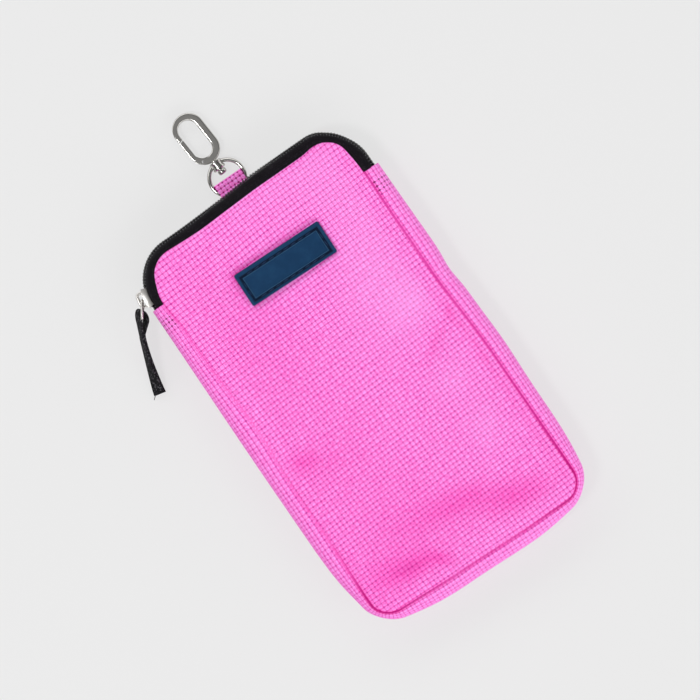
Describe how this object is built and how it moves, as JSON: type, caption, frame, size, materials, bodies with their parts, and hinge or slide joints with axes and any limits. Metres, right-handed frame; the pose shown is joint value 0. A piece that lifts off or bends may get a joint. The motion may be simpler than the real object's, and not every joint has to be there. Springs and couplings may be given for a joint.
{
  "type": "phone pouch",
  "caption": "Flat padded phone pouch of open woven fabric with a zip over its top, a sewn label patch, a webbing zip pull and a swivel snap hook on a fabric tab.",
  "frame": {"origin": "middle of the back panel's outer face, which is the face that the pouch lies on", "axes": "+X across the pouch to the right, seen from the front; +Y up the pouch to the zip and the hook; +Z out of the front panel"},
  "size_m": [0.1332, 0.2292, 0.021],
  "materials": {
    "pink_weave": "open basket weave",
    "binding": "plain woven tape",
    "zip_tape": "knitted tape",
    "zip_coil": "satin",
    "label_rubber": "moulded matt",
    "label_thread": "twisted thread",
    "slider_metal": "nickel plated",
    "webbing": "fine woven webbing",
    "clip_metal": "nickel plated",
    "steel": "drawn wire"
  },
  "bodies": {
    "pouch": {"back_panel": "pink_weave", "front_panel": "pink_weave", "back_seam_binding": "binding", "front_seam_binding": "binding", "gusset_strip": "pink_weave", "zip_tape_front": "zip_tape", "zip_tape_back": "zip_tape", "zip_coil_front": "zip_coil", "zip_coil_back": "zip_coil", "label_patch": "label_rubber", "label_thread": "label_thread", "hanging_tab": "pink_weave"},
    "slider": {"slider_body": "slider_metal", "slider_bridge": "slider_metal"},
    "puller": {"puller_loop": "slider_metal"},
    "strap": {"pull_strap": "webbing"},
    "ring": {"swivel_ring": "clip_metal"},
    "hook": {"hook_body": "clip_metal", "gate_pin": "steel", "gate_spring": "steel"},
    "gate": {"gate": "clip_metal"}
  },
  "joints": [
    {"name": "slider_travel", "type": "hinge", "parent": "pouch", "child": "slider", "pos_m": [-0.0365, 0.0757, 0.00975], "axis": [0, 0, 1], "range_deg": [-68, 0]},
    {"name": "puller_swing", "type": "hinge", "parent": "slider", "child": "puller", "pos_m": [-0.05741, 0.0792, 0.00975], "axis": [0, 0, 1], "range_deg": [-100, 10]},
    {"name": "strap_swing", "type": "hinge", "parent": "puller", "child": "strap", "pos_m": [-0.06188, 0.07257, 0.00975], "axis": [0, 0, 1], "range_deg": [-60, 12]},
    {"name": "ring_swing", "type": "hinge", "parent": "pouch", "child": "ring", "pos_m": [0.0008, 0.0942, 0.0026], "axis": [1, 0, 0], "range_deg": [-60, 60], "deforming": ["hanging_tab"]},
    {"name": "hook_swivel", "type": "hinge", "parent": "ring", "child": "hook", "pos_m": [0.0008, 0.10175, 0.0026], "axis": [-0.0732, 0.9973, 0], "continuous": true},
    {"name": "gate_open", "type": "hinge", "parent": "hook", "child": "gate", "pos_m": [-0.00382, 0.11284, 0.0026], "axis": [0, 0, 1], "range_deg": [-28, 0], "stiffness_Nm_per_rad": 0.04, "springref_deg": 20.05, "deforming": ["gate_spring"]}
  ]
}
